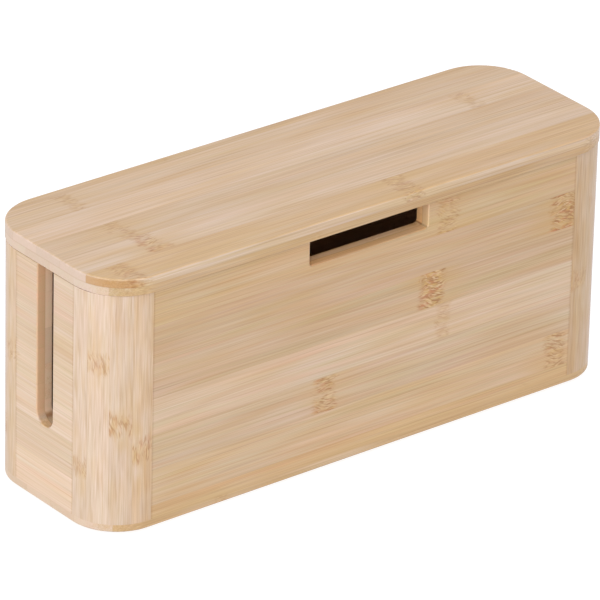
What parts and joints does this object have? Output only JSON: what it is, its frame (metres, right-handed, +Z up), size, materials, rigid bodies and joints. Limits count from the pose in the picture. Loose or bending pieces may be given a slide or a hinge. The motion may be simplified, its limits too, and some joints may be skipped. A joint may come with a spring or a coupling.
{
  "type": "cable management box",
  "caption": "Long bamboo box with rounded corner posts, tall cable slots in both ends, a cable notch at the top of the front and a flat lift-off lid.",
  "frame": {"origin": "on the surface the box stands on, under the middle of the box", "axes": "+X along the box towards its right end, +Y from the notched front wall towards the back wall, +Z up"},
  "size_m": [0.32, 0.104, 0.1385],
  "materials": {
    "lid_bamboo": "sanded and clear-coated flat-pressed bamboo, satin",
    "cleat_bamboo": "planed bamboo, uncoated",
    "long_wall_bamboo": "sanded and clear-coated flat-pressed bamboo, satin",
    "end_wall_bamboo": "sanded and clear-coated flat-pressed bamboo, satin",
    "post_bamboo": "sanded and clear-coated bamboo, upright grain, satin",
    "base_bamboo": "sanded and clear-coated flat-pressed bamboo, satin",
    "spline_bamboo": "planed bamboo, glued",
    "screw_steel": "zinc-plated",
    "foot_rubber": "matte"
  },
  "bodies": {
    "box": {"base_board": "base_bamboo", "front_panel_outer_ply": "long_wall_bamboo", "front_panel_inner_ply": "long_wall_bamboo", "back_panel_outer_ply": "long_wall_bamboo", "back_panel_inner_ply": "long_wall_bamboo", "left_end_outer_ply": "end_wall_bamboo", "left_end_inner_ply": "end_wall_bamboo", "right_end_outer_ply": "end_wall_bamboo", "right_end_inner_ply": "end_wall_bamboo", "corner_post_front_left": "post_bamboo", "corner_post_front_right": "post_bamboo", "corner_post_back_left": "post_bamboo", "corner_post_back_right": "post_bamboo", "corner_splines": "spline_bamboo", "base_screws": "screw_steel", "foot_front_left": "foot_rubber", "foot_front_right": "foot_rubber", "foot_back_left": "foot_rubber", "foot_back_right": "foot_rubber"},
    "lid": {"lid_upper_ply": "lid_bamboo", "lid_lower_ply": "lid_bamboo", "lid_cleat_left": "cleat_bamboo", "lid_cleat_right": "cleat_bamboo", "lid_cleat_screws": "screw_steel"}
  },
  "joints": [
    {"name": "lid_lift", "type": "slide", "parent": "box", "child": "lid", "axis": [0, 0, 1], "range_m": [0, 0.15]}
  ]
}
